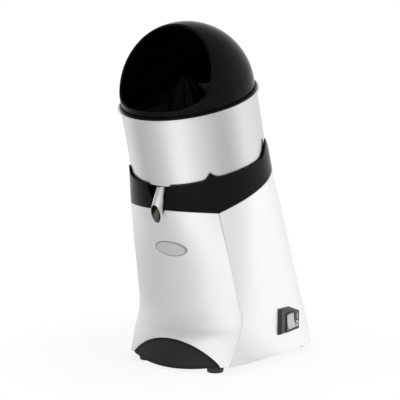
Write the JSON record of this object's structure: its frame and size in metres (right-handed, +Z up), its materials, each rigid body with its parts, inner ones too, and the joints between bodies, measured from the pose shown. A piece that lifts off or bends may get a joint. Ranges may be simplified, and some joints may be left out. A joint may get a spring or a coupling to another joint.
{
  "type": "citrus juicer",
  "caption": "Electric citrus juicer with a leaning stainless bowl under an open-fronted dome, a juice spout, a direct drive motor in a metal body and a side rocker switch.",
  "frame": {"origin": "on the table plane under the soles of the rubber feet, under the middle of the whole outline; the middle plane of the machine is at x = -1.4 mm, because the switch stands out on one side", "axes": "+Z up; the spout and the mouth of the hood face -Y; the rocker switch is on the +X side"},
  "size_m": [0.2118, 0.3137, 0.5071],
  "materials": {
    "hood_black": "high gloss",
    "bowl_steel": "satin",
    "strainer_plastic": "satin",
    "reamer_plastic": "satin gloss",
    "collar_black": "semi gloss",
    "silver_paint": "satin metallic paint",
    "toe_rubber": "fine matt",
    "badge_metal": "satin",
    "plate_steel": "zinc plated",
    "screw_steel": "zinc plated",
    "foot_rubber": "matt",
    "cast_aluminium": "as cast",
    "seal_rubber": "matt",
    "core_steel": "laminated",
    "winding_copper": "enamelled",
    "cage_aluminium": "cast",
    "shaft_steel": "ground",
    "bearing_steel": "ground",
    "fan_plastic": "moulded",
    "switch_black": "satin",
    "rocker_grey": "semi gloss",
    "capacitor_white": "moulded",
    "terminal_cream": "moulded"
  },
  "bodies": {
    "base": {"collar": "collar_black", "main_housing": "silver_paint", "front_panel": "silver_paint", "toe_insert": "toe_rubber", "badge_plate": "badge_metal", "base_plate": "plate_steel", "base_screws": "screw_steel", "rubber_feet": "foot_rubber", "foot_screws": "screw_steel", "motor_deck": "cast_aluminium", "deck_screws": "screw_steel", "bowl_seat": "cast_aluminium", "seat_screws": "screw_steel", "bowl_gasket": "seal_rubber", "upper_end_shield": "cast_aluminium", "lower_end_shield": "cast_aluminium", "stator_core": "core_steel", "stator_windings": "winding_copper", "tie_bolts": "screw_steel", "tie_nuts": "screw_steel", "bearing_outer_rings": "bearing_steel", "bearing_balls": "bearing_steel", "wave_washer": "screw_steel", "shaft_seal": "seal_rubber", "switch_housing": "switch_black", "switch_body": "switch_black", "rocker_pin": "shaft_steel", "run_capacitor": "capacitor_white", "capacitor_clip": "plate_steel", "terminal_block": "terminal_cream", "cord_gland": "switch_black", "gland_nut": "switch_black"},
    "bowl": {"bowl": "bowl_steel", "spout_tube": "bowl_steel"},
    "strainer": {"strainer": "strainer_plastic"},
    "reamer": {"reamer": "reamer_plastic"},
    "hood": {"hood": "hood_black"},
    "rotor": {"rotor_core": "core_steel", "rotor_cage": "cage_aluminium", "drive_shaft": "shaft_steel", "drive_pin": "shaft_steel", "bearing_inner_rings": "bearing_steel", "shaft_slinger": "seal_rubber", "cooling_fan": "fan_plastic", "fan_clip": "screw_steel"},
    "rocker": {"switch_rocker": "rocker_grey"}
  },
  "joints": [
    {"name": "bowl_lift", "type": "slide", "parent": "base", "child": "bowl", "axis": [0, -0.2588, 0.9659], "range_m": [0, 0.125]},
    {"name": "strainer_lift", "type": "slide", "parent": "bowl", "child": "strainer", "axis": [0, -0.2588, 0.9659], "range_m": [0, 0.06]},
    {"name": "hood_lift", "type": "slide", "parent": "bowl", "child": "hood", "axis": [0, -0.2588, 0.9659], "range_m": [0, 0.09]},
    {"name": "reamer_spin", "type": "hinge", "parent": "strainer", "child": "reamer", "pos_m": [-0.0014, -0.0565, 0.398], "axis": [0, -0.2588, 0.9659], "continuous": true},
    {"name": "rotor_spin", "type": "hinge", "parent": "base", "child": "rotor", "pos_m": [-0.0014, -0.0565, 0.398], "axis": [0, -0.2588, 0.9659], "continuous": true},
    {"name": "rocker_tilt", "type": "hinge", "parent": "base", "child": "rocker", "pos_m": [0.09632, 0.06103, 0.056], "axis": [-0.1045, 0.9945, 0], "range_deg": [0, 18]}
  ],
  "couplings": [
    {"joint": "reamer_spin", "follows": "rotor_spin", "ratio": 1}
  ]
}
